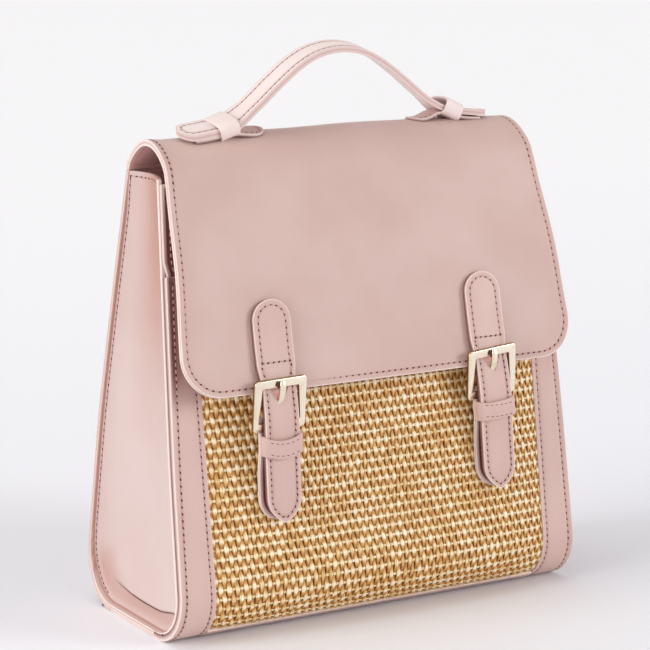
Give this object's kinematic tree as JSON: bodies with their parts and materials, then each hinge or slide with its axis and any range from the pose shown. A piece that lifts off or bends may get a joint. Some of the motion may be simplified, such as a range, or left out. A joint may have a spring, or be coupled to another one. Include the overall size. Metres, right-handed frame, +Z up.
{
  "type": "woven backpack",
  "caption": "Small standing satchel-style backpack with a woven straw front, leather sides, a buckled leather flap, a top handle and plain shoulder straps.",
  "frame": {"origin": "on the floor, at the middle of the bounding box's underside, under the middle of the base", "axes": "+Z up, +X to the right of the front, -Y out of the woven front"},
  "size_m": [0.26, 0.1345, 0.315],
  "materials": {
    "blush_leather": "smooth matte blush leather with a soft sheen",
    "woven_straw": "plain-woven golden straw with pale glints",
    "pale_gold": "polished pale gold plating"
  },
  "bodies": {
    "root": {"front_panel": "blush_leather", "woven_panel": "woven_straw", "front_band_left": "blush_leather", "front_band_right": "blush_leather", "base_panel": "blush_leather", "back_panel": "blush_leather", "gusset_left": "blush_leather", "gusset_right": "blush_leather", "flap": "blush_leather", "closure_strap_left": "blush_leather", "closure_strap_right": "blush_leather", "backing_strap_left": "blush_leather", "backing_strap_right": "blush_leather", "buckle_frame_left": "pale_gold", "buckle_frame_right": "pale_gold", "buckle_prong_left": "pale_gold", "buckle_prong_right": "pale_gold", "strap_keeper_left": "blush_leather", "strap_keeper_right": "blush_leather", "handle_strap": "blush_leather", "handle_anchor_left": "blush_leather", "handle_anchor_right": "blush_leather", "handle_loop_left": "blush_leather", "handle_loop_right": "blush_leather", "shoulder_strap_left": "blush_leather", "shoulder_strap_right": "blush_leather"}
  },
  "joints": []
}
